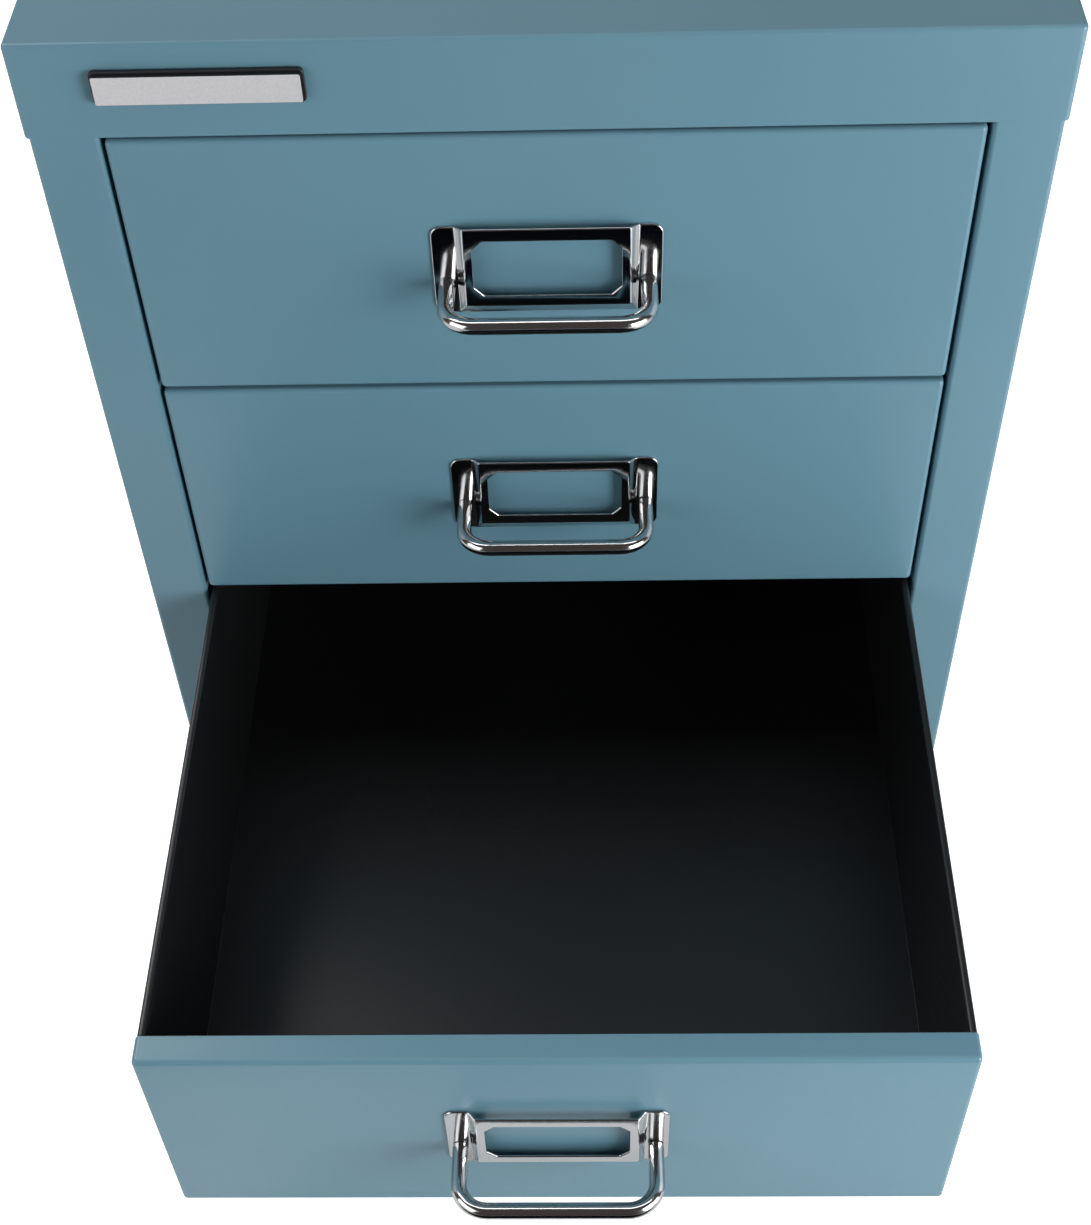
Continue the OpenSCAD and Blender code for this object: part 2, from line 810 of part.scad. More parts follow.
drawer_slides(2);  // drawer_2_slides
stop_clips(2);  // drawer_2_stop_clips
drawer_front(3);  // drawer_3_front
drawer_tray(3);  // drawer_3_tray
drawer_back(3);  // drawer_3_back
card_frame(3);  // drawer_3_card_frame
handle(3);  // drawer_3_handle
handle_screws(3);  // drawer_3_handle_screws
drawer_slides(3);  // drawer_3_slides
stop_clips(3);  // drawer_3_stop_clips
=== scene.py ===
"""Desktop drawer cabinet of powder-coated steel, with chrome card frames and bow handles.

Sizes are in metres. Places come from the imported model: +Z is up, the fronts face -Y, and the origin is
on the floor under the middle of the case. The sections follow the cabinet as it is put together.
"""
import math
import bmesh
import bpy
from mathutils import Matrix, Vector


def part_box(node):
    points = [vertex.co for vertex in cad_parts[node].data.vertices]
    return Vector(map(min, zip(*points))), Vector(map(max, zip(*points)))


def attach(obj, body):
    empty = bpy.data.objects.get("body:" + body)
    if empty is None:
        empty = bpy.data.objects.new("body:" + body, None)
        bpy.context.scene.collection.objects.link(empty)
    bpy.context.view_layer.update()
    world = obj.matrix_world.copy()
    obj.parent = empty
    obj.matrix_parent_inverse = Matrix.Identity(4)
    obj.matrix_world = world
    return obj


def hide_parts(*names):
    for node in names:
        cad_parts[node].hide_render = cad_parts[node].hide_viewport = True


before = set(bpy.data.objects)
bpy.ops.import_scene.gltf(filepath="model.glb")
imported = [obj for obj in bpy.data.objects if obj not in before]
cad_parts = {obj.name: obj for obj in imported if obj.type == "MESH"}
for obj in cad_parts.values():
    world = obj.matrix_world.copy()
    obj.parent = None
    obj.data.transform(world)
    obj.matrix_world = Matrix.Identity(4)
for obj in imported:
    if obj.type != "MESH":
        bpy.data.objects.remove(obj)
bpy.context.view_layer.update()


# ---- Side panels ----
# Each side is one sheet of 0.8 mm steel. A press brake folds it into the return inside the opening, the
# stile, the side wall and the flange at the rear. It is welded to the rails and powder-coated teal.
MM = 0.001
X = Vector((1, 0, 0))
Y = Vector((0, 1, 0))
Z = Vector((0, 0, 1))
SIDES = {"left": -1, "right": 1}
CASE_SHEET = 0.8 * MM
FOLD_RADIUS = 0.6 * MM
FOLD_STEPS = 6
CUT_EDGE_RADIUS = 0.22 * MM
EASE_STEPS = 2
EASE_ANGLE = math.radians(40)
FLAT_FACE_WEIGHT = 100
PEEL_LENGTH = 1.1 * MM
DRIFT_LENGTH = 70 * MM
GLOSS_SPREAD = 0.03
RIPPLE_LOW, RIPPLE_HIGH = 0.3, 0.7  # where nearly all of the noise lies
STILE_RETURN = 18 * MM
REAR_FLANGE = 14 * MM
side_low, side_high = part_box("right_side")
case_half = side_high.x
opening_half = side_low.x
case_front = side_low.y
case_back = side_high.y


def linear(srgb):
    """A hex colour as the linear values that Blender's sockets take."""
    shares = [int(srgb[i:i + 2], 16) / 255 for i in (1, 3, 5)]
    return [s / 12.92 if s <= 0.04045 else ((s + 0.055) / 1.055) ** 2.4 for s in shares] + [1]


def add(tree, kind, sockets=None, **settings):
    """Adds a node with its settings. Each socket gets a value, or a link from another node's output."""
    node = tree.nodes.new("ShaderNode" + kind)
    for name, value in settings.items():
        setattr(node, name, value)
    for name, value in (sockets or {}).items():
        if isinstance(value, bpy.types.NodeSocket):
            tree.links.new(value, node.inputs[name])
        else:
            node.inputs[name].default_value = value
    return node


def new_finish(name, **shader):
    """A material with the shader's constant sockets set. Gives its tree, shader and coordinates too."""
    finish = bpy.data.materials.new(name)
    finish.use_nodes = True
    tree = finish.node_tree
    principled = tree.nodes["Principled BSDF"]
    for socket, value in shader.items():
        principled.inputs[socket.replace("_", " ")].default_value = value
    place = add(tree, "TexCoord").outputs["Object"]
    return finish, tree, principled, place


def powder_coat(name, main, drift, gloss, ripple_depth):
    """Polyester powder baked on steel: an even satin skin that ripples finely, called orange peel.

    The ripple is 1.1 mm from crest to crest, and the coat is a little duller on its crests. The colour
    drifts towards a second tone over some 70 mm, as the coat is a little thicker in places.
    """
    finish, tree, shader, place = new_finish(name, IOR=1.5)
    slow = add(tree, "TexNoise", {"Vector": place, "Scale": 1 / DRIFT_LENGTH, "Detail": 2.0})
    tone = add(tree, "MixRGB", {"Fac": slow.outputs["Fac"], "Color1": linear(main),
                                "Color2": linear(drift)})
    ripple = add(tree, "TexNoise", {"Vector": place, "Scale": 1 / PEEL_LENGTH, "Detail": 1.5,
                                    "Roughness": 0.45})
    grain = add(tree, "MapRange", {"Value": ripple.outputs["Fac"], "From Min": RIPPLE_LOW,
                                   "From Max": RIPPLE_HIGH, "To Min": gloss - GLOSS_SPREAD,
                                   "To Max": gloss + GLOSS_SPREAD})
    relief = add(tree, "Bump", {"Height": ripple.outputs["Fac"], "Strength": 1.0,
                                "Distance": ripple_depth})
    tree.links.new(tone.outputs["Color"], shader.inputs["Base Color"])
    tree.links.new(grain.outputs["Result"], shader.inputs["Roughness"])
    tree.links.new(relief.outputs["Normal"], shader.inputs["Normal"])
    return finish


def folded_sheet(corners, sweep, radius):
    """The outer skin of a sheet that turns at the corners and runs straight along the sweep.

    Seen with the sweep coming towards the eye, the metal lies to the left of the way along the corners.
    """
    skin = bmesh.new()
    line = [skin.verts.new(corner) for corner in corners]
    edges = [skin.edges.new(pair) for pair in zip(line, line[1:])]
    swept = bmesh.ops.extrude_edge_only(skin, edges=edges)["geom"]
    far = [item for item in swept if isinstance(item, bmesh.types.BMVert)]
    bmesh.ops.translate(skin, verts=far, vec=sweep)
    skin.normal_update()
    outward = (corners[1] - corners[0]).cross(sweep)
    skin.faces.ensure_lookup_table()
    if edges[0].link_faces[0].normal.dot(outward) < 0:
        bmesh.ops.reverse_faces(skin, faces=skin.faces)
    folds = [edge for edge in skin.edges if len(edge.link_faces) == 2]
    bmesh.ops.bevel(skin, geom=folds, offset=radius, offset_type="OFFSET", affect="EDGES",
                    segments=FOLD_STEPS, profile=0.5, material=-1, clamp_overlap=True)
    return skin


def make_piece(name, shape, finish, body, slot, *nodes, sheet=0.0, ease=CUT_EDGE_RADIUS):
    """Makes the shape a piece of the cabinet. A skin gets its sheet inwards, and cut edges are eased."""
    mesh = bpy.data.meshes.new(name)
    shape.to_mesh(mesh)
    shape.free()
    mesh.shade_smooth()
    piece = bpy.data.objects.new(name, mesh)
    bpy.context.scene.collection.objects.link(piece)
    piece.data.materials.append(finish)
    if sheet:
        wall = piece.modifiers.new("Sheet", "SOLIDIFY")
        wall.thickness = sheet
        wall.offset = -1
        wall.use_even_offset = True
    if ease:
        edge = piece.modifiers.new("Eased edges", "BEVEL")
        edge.width = ease
        edge.segments = EASE_STEPS
        edge.limit_method = "ANGLE"
        edge.angle_limit = EASE_ANGLE
    flats = piece.modifiers.new("Flat faces stay flat", "WEIGHTED_NORMAL")
    flats.weight = FLAT_FACE_WEIGHT
    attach(piece, body)
    if nodes:
        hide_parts(*nodes)
    return piece


def mirrored(corners, side):
    """The corners of a right-hand piece, or of its mirror image, with the metal kept on the inside."""
    if side > 0:
        return corners
    return [Vector((-corner.x, corner.y, corner.z)) for corner in reversed(corners)]


teal_coat = powder_coat("teal powder coat", "#5D8494", "#628999", 0.31, 0.012 * MM)
floor_line = side_low.z * Z
for hand, side in SIDES.items():
    plan = [X * opening_half + Y * (case_front + STILE_RETURN), X * opening_half + Y * case_front,
            X * case_half + Y * case_front, X * case_half + Y * case_back,
            X * (case_half - REAR_FLANGE) + Y * case_back]
    panel = folded_sheet(mirrored([corner + floor_line for corner in plan], side),
                         Z * (side_high.z - side_low.z), FOLD_RADIUS + CASE_SHEET)
    make_piece(f"side_panel_{hand}", panel, teal_coat, "cabinet", "teal_powder_coat", f"{hand}_side",
               sheet=CASE_SHEET)


# ---- Base rail ----
# The channel under the bottom drawer ties the two stiles. It is folded from the same sheet and coated
# with them, open to the rear.
rail_low, rail_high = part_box("base_rail")
section = [Y * rail_high.y + Z * rail_high.z, Y * rail_low.y + Z * rail_high.z,
           Y * rail_low.y + Z * rail_low.z, Y * rail_high.y + Z * rail_low.z]
rail = folded_sheet([corner + X * rail_low.x for corner in section], X * (rail_high.x - rail_low.x),
                    FOLD_RADIUS + CASE_SHEET)
make_piece("base_rail_channel", rail, teal_coat, "cabinet", "teal_powder_coat", "base_rail",
           sheet=CASE_SHEET)


# ---- Back panel ----
# A plain steel sheet, spot-welded inside the rear flanges of the sides and coated with them.
def block(low, high):
    """A box between two corners."""
    shape = bmesh.new()
    size = high - low
    bmesh.ops.create_cube(shape, size=1)
    bmesh.ops.scale(shape, verts=shape.verts, vec=size)
    bmesh.ops.translate(shape, verts=shape.verts, vec=(low + high) / 2)
    return shape


back_low, back_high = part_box("back_panel")
make_piece("back_sheet", block(back_low, back_high), teal_coat, "cabinet", "teal_powder_coat",
           "back_panel")


# ---- Parts inside the case that carry the drawers ----
# The floor and the top rail are coated with the case. The posts are painted black, and the runners are
# pre-galvanised strip. Nylon pads, rubber buffers and sprung washers are pushed on last.
CLOUD_LENGTH = 12 * MM


def metal(name, tone, shade, grain_size, roughness, variation, metallic=1.0):
    """Bare or plated metal whose crystals or brush marks, grain_size across, take the light unevenly."""
    finish, tree, shader, place = new_finish(name, Metallic=metallic)
    crystals = add(tree, "TexVoronoi", {"Vector": place, "Scale": 1 / grain_size})
    pick = add(tree, "SeparateColor", {"Color": crystals.outputs["Color"]})
    tones = add(tree, "MixRGB", {"Fac": pick.outputs["Red"], "Color1": linear(tone),
                                 "Color2": linear(shade)})
    gloss = add(tree, "MapRange", {"Value": pick.outputs["Green"], "To Min": roughness - variation,
                                   "To Max": roughness + variation})
    tree.links.new(tones.outputs["Color"], shader.inputs["Base Color"])
    tree.links.new(gloss.outputs["Result"], shader.inputs["Roughness"])
    return finish


def moulded(name, main, shade, grain_size, roughness, relief_depth):
    """A moulded plastic or rubber: one colour, faintly clouded, with the tool's fine grain."""
    finish, tree, shader, place = new_finish(name, Roughness=roughness, IOR=1.5)
    cloud = add(tree, "TexNoise", {"Vector": place, "Scale": 1 / CLOUD_LENGTH, "Detail": 3.0})
    tone = add(tree, "MixRGB", {"Fac": cloud.outputs["Fac"], "Color1": linear(main),
                                "Color2": linear(shade)})
    grain = add(tree, "TexNoise", {"Vector": place, "Scale": 1 / grain_size, "Detail": 2.0})
    relief = add(tree, "Bump", {"Height": grain.outputs["Fac"], "Strength": 1.0,
                                "Distance": relief_depth})
    tree.links.new(tone.outputs["Color"], shader.inputs["Base Color"])
    tree.links.new(relief.outputs["Normal"], shader.inputs["Normal"])
    return finish


def refinish(finish, slot, *nodes):
    """Gives CAD nodes that keep their own mesh a new finish."""
    for node in nodes:
        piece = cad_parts[node]
        piece.data.materials.clear()
        piece.data.materials.append(finish)


black_coat = powder_coat("black tray paint", "#111213", "#17181A", 0.38, 0.01 * MM)
galvanised = metal("galvanised steel", "#B9BEC2", "#A3A9AE", 6 * MM, 0.36, 0.07)
zinc_plate = metal("zinc-plated steel", "#C6C9CB", "#B7B9B8", 0.6 * MM, 0.28, 0.05)
nylon = moulded("nylon", "#E4E1D6", "#DCD8CB", 0.5 * MM, 0.42, 0.006 * MM)
rubber = moulded("black rubber", "#161617", "#1E1E1E", 0.35 * MM, 0.75, 0.02 * MM)
posts = [f"{end}_{hand}_post" for end in ("front", "rear") for hand in SIDES]
runners = [f"{rail}_{hand}" for rail in ("runner_1", "runner_2", "runner_3", "top_guide")
           for hand in SIDES]
refinish(teal_coat, "teal_powder_coat", "base_pan", "top_rail")
refinish(black_coat, "black_post_paint", *posts)
refinish(galvanised, "galvanised_steel", *runners)
refinish(nylon, "nylon", "runner_pads")
refinish(rubber, "black_rubber", "closing_buffers")
refinish(zinc_plate, "zinc_plated_steel", "badge_retainers")


# ---- Feet ----
# Four soft rubber feet. Each is moulded with a stem that is pushed up through the floor until its bead
# snaps in, and has a slightly dished tread.
FOOT_ROUND = 0.8 * MM
TREAD_INSET = 2.0 * MM
TREAD_DISH = 0.4 * MM
STEM_INSET = 5.5 * MM
BEAD_HEIGHT = 2 * MM
BEAD_PROUD = 0.45 * MM
BEAD_SLOPE = 0.2 * MM
TURN_STEPS = 48
SAME_POINT = 0.001 * MM


def turned(profile, centre):
    """The solid that the profile makes when it turns about an upright axis through the centre.

    The profile is a list of radius and height, and starts and ends on the axis.
    """
    shape = bmesh.new()
    line = [shape.verts.new((radius, 0, height)) for radius, height in profile]
    edges = [shape.edges.new(pair) for pair in zip(line, line[1:])]
    bmesh.ops.spin(shape, geom=line + edges, cent=(0, 0, 0), axis=Z, angle=math.tau,
                   steps=TURN_STEPS, use_merge=True)
    bmesh.ops.remove_doubles(shape, verts=shape.verts, dist=SAME_POINT)
    bmesh.ops.recalc_face_normals(shape, faces=shape.faces)
    bmesh.ops.translate(shape, verts=shape.verts, vec=centre)
    return shape


for foot in [f"{end}_{hand}_foot" for end in ("front", "rear") for hand in SIDES]:
    foot_low, foot_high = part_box(foot)
    radius = (foot_high.x - foot_low.x) / 2
    stem = radius - STEM_INSET
    tread = side_low.z
    top = foot_high.z
    profile = [(0, TREAD_DISH), (radius - TREAD_INSET - FOOT_ROUND, TREAD_DISH),
               (radius - TREAD_INSET, 0), (radius - FOOT_ROUND, 0), (radius, FOOT_ROUND),
               (radius, tread - FOOT_ROUND / 2), (radius - FOOT_ROUND / 2, tread), (stem, tread),
               (stem, top - BEAD_HEIGHT), (stem + BEAD_PROUD, top - BEAD_HEIGHT + BEAD_SLOPE),
               (stem, top), (0, top)]
    middle = Vector(((foot_low.x + foot_high.x) / 2, (foot_low.y + foot_high.y) / 2, 0))
    make_piece(f"{foot}_rubber", turned(profile, middle), rubber, "cabinet", "black_rubber", foot)


# ---- Cap ----
# The lid is pressed from 0.7 mm sheet: a flat top with a 28 mm skirt all round, whose four upright
# corners are welded and dressed round. It drops over the case.
CAP_SHEET = 0.7 * MM
CAP_CORNER = 1.6 * MM
CORNER_STEPS = 8
ALIGNED = 0.9  # the least share of a direction along an axis that counts as lying along it


def pressed_pan(low, high, face, corner, fold):
    """The outer skin of a shallow pan: a box, open behind its face, with round corners and folds."""
    skin = block(low, high)
    skin.normal_update()
    behind = [side for side in skin.faces if side.normal.dot(face) < -ALIGNED]
    bmesh.ops.delete(skin, geom=behind, context="FACES_ONLY")
    depth = [edge for edge in skin.edges
             if abs((edge.verts[0].co - edge.verts[1].co).normalized().dot(face)) > ALIGNED]
    front = [side for side in skin.faces if side.normal.dot(face) > ALIGNED]
    rim = list(front[0].edges)
    if corner == fold:
        bmesh.ops.bevel(skin, geom=depth + rim, offset=fold, offset_type="OFFSET", affect="EDGES",
                        segments=FOLD_STEPS, profile=0.5, material=-1)
        return skin
    bmesh.ops.bevel(skin, geom=depth, offset=corner, offset_type="OFFSET", affect="EDGES",
                    segments=CORNER_STEPS, profile=0.5, material=-1)
    skin.normal_update()
    front = [side for side in skin.faces if side.normal.dot(face) > ALIGNED]
    bmesh.ops.bevel(skin, geom=list(front[0].edges), offset=fold, offset_type="OFFSET",
                    affect="EDGES", segments=FOLD_STEPS, profile=0.5, material=-1)
    return skin


cap_low, cap_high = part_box("top_cap")
cap = pressed_pan(cap_low, cap_high, Z, CAP_CORNER, FOLD_RADIUS + CAP_SHEET)
make_piece("cap_lid", cap, teal_coat, "cabinet", "teal_powder_coat", "top_cap", sheet=CAP_SHEET)


# ---- Badge ----
# A blank name bar: a black plastic carrier, pegged through the skirt, and on it a thick plate whose
# sides are black and whose front is hot-stamped with silver foil.
BADGE_ROUND = 0.35 * MM
BADGE_CORNER = 1.4 * MM
PLATE_ROUND = 0.1 * MM
FOIL_INSET = 0.12 * MM


def name_bar(low, high, corner):
    """A bar that lies on the skirt, with round corners."""
    shape = block(low, high)
    upright = [edge for edge in shape.edges
               if abs((edge.verts[0].co - edge.verts[1].co).normalized().y) > ALIGNED]
    bmesh.ops.bevel(shape, geom=upright, offset=corner, offset_type="OFFSET", affect="EDGES",
                    segments=CORNER_STEPS, profile=0.5, material=-1)
    return shape


black_plastic = moulded("black badge plastic", "#141517", "#1B1C1F", 0.4 * MM, 0.38, 0.006 * MM)
silver_foil = metal("silver badge foil", "#DEDDE0", "#D6D6D9", 0.5 * MM, 0.42, 0.06, metallic=0.35)
skirt_face = cap_low.y
carrier_low, carrier_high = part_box("badge_carrier")
carrier_high.y = skirt_face
carrier = name_bar(carrier_low, carrier_high, BADGE_CORNER)
make_piece("badge_bar", carrier, black_plastic, "cabinet", "badge_black", "badge_carrier",
           ease=BADGE_ROUND)
plate_low, plate_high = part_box("badge_face")
plate = name_bar(plate_low, plate_high, BADGE_CORNER / 2)
plate.normal_update()
plate_front = [side for side in plate.faces if side.normal.y < -ALIGNED]
bmesh.ops.inset_region(plate, faces=plate_front, thickness=FOIL_INSET, depth=0)
for side in plate.faces:
    side.material_index = 1 if side in plate_front else 0
plate_piece = make_piece("badge_plate", plate, black_plastic, "cabinet", "badge_silver", "badge_face",
                         ease=PLATE_ROUND)
plate_piece.data.materials.append(silver_foil)


# ---- Trays ----
# One sheet of 0.7 mm steel makes the floor and both sides of each of the three drawers. It is hemmed
# inwards at the rim, so that no raw edge shows, and painted black. The front wall has two holes for the
# driver that reaches the handle's screws.
DRAWERS = (1, 2, 3)
TRAY_SHEET = 0.7 * MM
TRAY_FOLD = 1.05 * MM
HEM_WIDTH = 2.4 * MM
HEM_DROP = 4 * MM
WALL_BELOW_RIM = 1.5 * TRAY_SHEET
TRAY_EDGE_RADIUS = 0.15 * MM
ACCESS_RADIUS = 4.5 * MM
HOLE_STEPS = 32


def pierce(shape, face, outlines):
    """Cuts the outlines, closed loops of edges that lie in the face, out of it."""
    rim = list(face.edges)
    normal = face.normal.copy()
    bmesh.ops.delete(shape, geom=[face], context="FACES_ONLY")
    bmesh.ops.triangle_fill(shape, use_beauty=True, use_dissolve=False, edges=rim + outlines,
                            normal=normal)


def round_outline(shape, centre, radius, axis):
    """The edges of a circle about the centre, square to the axis."""
    turn = Z.rotation_difference(axis).to_matrix().to_4x4()
    circle = bmesh.ops.create_circle(shape, cap_ends=False, segments=HOLE_STEPS, radius=radius,
                                     matrix=Matrix.Translation(centre) @ turn)
    return list({edge for vert in circle["verts"] for edge in vert.link_edges})


def front_wall(low, high, holes):
    """The skin of a flat wall that faces -Y, with round holes."""
    wall = bmesh.new()
    corners = [Vector((x, low.y, z)) for x, z in ((low.x, low.z), (high.x, low.z), (high.x, high.z),
                                                 (low.x, high.z))]
    face = wall.faces.new([wall.verts.new(corner) for corner in corners])
    wall.normal_update()
    outlines = [edge for hole in holes for edge in round_outline(wall, hole, ACCESS_RADIUS, Y)]
    pierce(wall, face, outlines)
    return wall


def join(shape, extra):
    """Adds a second shape to the first."""
    mesh = bpy.data.meshes.new("joined")
    extra.to_mesh(mesh)
    extra.free()
    shape.from_mesh(mesh)
    bpy.data.meshes.remove(mesh)


for number in DRAWERS:
    low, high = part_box(f"drawer_{number}_tray")
    screws_low, screws_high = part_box(f"drawer_{number}_handle_screws")
    screw_height = (screws_low.z + screws_high.z) / 2
    arm_x = screws_high.x - (screws_high.z - screws_low.z) / 2
    inner = high.x - HEM_WIDTH
    section = [X * -inner + Z * (high.z - HEM_DROP), X * -inner + Z * high.z, X * low.x + Z * high.z,
               X * low.x + Z * low.z, X * high.x + Z * low.z, X * high.x + Z * high.z,
               X * inner + Z * high.z, X * inner + Z * (high.z - HEM_DROP)]
    tray = folded_sheet([corner + Y * high.y for corner in section], Y * (low.y - high.y), TRAY_FOLD)
    wall_low = Vector((low.x + TRAY_SHEET / 2, low.y, low.z + TRAY_SHEET / 2))
    wall_high = Vector((high.x - TRAY_SHEET / 2, low.y, high.z - WALL_BELOW_RIM))
    holes = [Vector((side * arm_x, low.y, screw_height)) for side in SIDES.values()]
    join(tray, front_wall(wall_low, wall_high, holes))
    make_piece(f"drawer_{number}_tray_sheet", tray, black_coat, f"drawer_{number}",
               "black_tray_paint", f"drawer_{number}_tray", sheet=TRAY_SHEET, ease=TRAY_EDGE_RADIUS)


# ---- Tray backs ----
# The rear wall stands on a foot flange that is spot-welded to the tray's floor, and is hemmed like the
# sides. Its top corners are notched round their hems.
NOTCH_GAP = 0.1 * MM
for number in DRAWERS:
    low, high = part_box(f"drawer_{number}_back")
    section = [Y * low.y + Z * low.z, Y * high.y + Z * low.z, Y * high.y + Z * high.z,
               Y * (high.y - HEM_WIDTH) + Z * high.z,
               Y * (high.y - HEM_WIDTH) + Z * (high.z - HEM_DROP)]
    back = folded_sheet([corner + X * low.x for corner in section], X * (high.x - low.x), TRAY_FOLD)
    tray_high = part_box(f"drawer_{number}_tray")[1]
    notch_side = tray_high.x - HEM_WIDTH - NOTCH_GAP
    notch_floor = high.z - HEM_DROP - NOTCH_GAP
    cuts = [(X * notch_side, X), (X * -notch_side, X), (Z * notch_floor, Z)]
    for place, normal in cuts:
        everything = list(back.verts) + list(back.edges) + list(back.faces)
        bmesh.ops.bisect_plane(back, geom=everything, plane_co=place, plane_no=normal)
    notched = []
    for side in back.faces:
        centre = side.calc_center_median()
        if abs(centre.x) > notch_side and centre.z > notch_floor:
            notched.append(side)
    bmesh.ops.delete(back, geom=notched, context="FACES")
    make_piece(f"drawer_{number}_rear_wall", back, black_coat, f"drawer_{number}",
               "black_tray_paint", f"drawer_{number}_back", sheet=TRAY_SHEET, ease=TRAY_EDGE_RADIUS)


# ---- Drawer fronts ----
# Each front is a 0.9 mm pan with soft folds and corners, spot-welded to the tray by the flange that
# turns down behind its top edge, then coated with the case.
FRONT_SHEET = 0.9 * MM
FRONT_FLANGE = 9 * MM
for number in DRAWERS:
    low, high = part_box(f"drawer_{number}_front")
    fold = FOLD_RADIUS + FRONT_SHEET
    front = pressed_pan(low, high, -Y, fold, fold)
    left, right = low.x + FRONT_SHEET, high.x - FRONT_SHEET
    head, foot = high.z - FRONT_SHEET / 2, high.z - FRONT_SHEET - FRONT_FLANGE
    flange = bmesh.new()
    corners = [(left, foot), (left, head), (right, head), (right, foot)]
    flange.faces.new([flange.verts.new((x, high.y, z)) for x, z in corners])
    join(front, flange)
    make_piece(f"drawer_{number}_painted_front", front, teal_coat, f"drawer_{number}",
               "teal_powder_coat", f"drawer_{number}_front", sheet=FRONT_SHEET)


# ---- Card frames ----
# A strip of 0.8 mm steel, pressed so that its middle stands off the front and holds a card, with a tab
# at each end under the handle's arm. It is polished and bright chrome-plated.
CARD_SHEET = 0.8 * MM
CARD_RISE = 3.4 * MM
STEP_RUN = 2.7 * MM
LIP_HEIGHT = 4.3 * MM
TAB_HEIGHT = 29.5 * MM
TAB_DROP = 0.8 * MM
TAB_REACH = 3.85 * MM
TAB_CORNER = 3 * MM
ARM_GAP = 2.5 * MM
PRESSED_FOLD = 0.42 * MM
PRESSED_STEPS = 3
CARD_EDGE_RADIUS = 0.36 * MM
CROWN_RADIUS = 180 * MM
WINDOW_WIDTH = 42.3 * MM
WINDOW_HEIGHT = 19 * MM
WINDOW_DROP = 4.1 * MM
WINDOW_CUT = 3 * MM
WINDOW_SLACK = 0.5 * MM
MOP_WAVE = 9 * MM
HAZE_GRAIN = 0.5 * MM
HAZE_SPREAD = 0.3
HAZE_LOW, HAZE_HIGH = 0.35, 0.65


def crown(tree, place, level, pitch, radius):
    """The height, in metres, of a surface that is crowned a little about levels a pitch apart."""
    up = add(tree, "SeparateXYZ", {0: place}).outputs["Z"]
    above = add(tree, "Math", {0: up, 1: level}, operation="SUBTRACT")
    near = add(tree, "Math", {0: above.outputs[0], 1: pitch / 2, 2: -pitch / 2}, operation="WRAP")
    square = add(tree, "Math", {0: near.outputs[0], 1: near.outputs[0]}, operation="MULTIPLY")
    return add(tree, "Math", {0: square.outputs[0], 1: -0.5 / radius}, operation="MULTIPLY")


def chrome_plate(name, roughness, wave_depth, crowned=None):
    """Bright chrome on polished steel: a mirror with slow waves left by the polishing mop.

    The waves are about 9 mm long, and a much finer grain keeps the flats from being a perfect mirror. A
    crowned plate, which the press leaves not quite flat, shortens what it mirrors.
    """
    finish, tree, shader, place = new_finish(name, Metallic=1.0, Base_Color=linear("#C6C7C8"))
    wave = add(tree, "TexNoise", {"Vector": place, "Scale": 1 / MOP_WAVE, "Detail": 1.0})
    grain = add(tree, "TexNoise", {"Vector": place, "Scale": 1 / HAZE_GRAIN, "Detail": 2.0})
    haze = add(tree, "MapRange", {"Value": grain.outputs["Fac"], "From Min": HAZE_LOW,
                                  "From Max": HAZE_HIGH, "To Min": roughness * (1 - HAZE_SPREAD),
                                  "To Max": roughness * (1 + HAZE_SPREAD)})
    relief = add(tree, "Bump", {"Height": wave.outputs["Fac"], "Strength": 1.0,
                                "Distance": wave_depth})
    if crowned:
        pressed = add(tree, "Bump", {"Height": crown(tree, place, *crowned).outputs[0],
                                     "Strength": 1.0, "Distance": 1.0})
        tree.links.new(pressed.outputs["Normal"], relief.inputs["Normal"])
    tree.links.new(haze.outputs["Result"], shader.inputs["Roughness"])
    tree.links.new(relief.outputs["Normal"], shader.inputs["Normal"])
    return finish


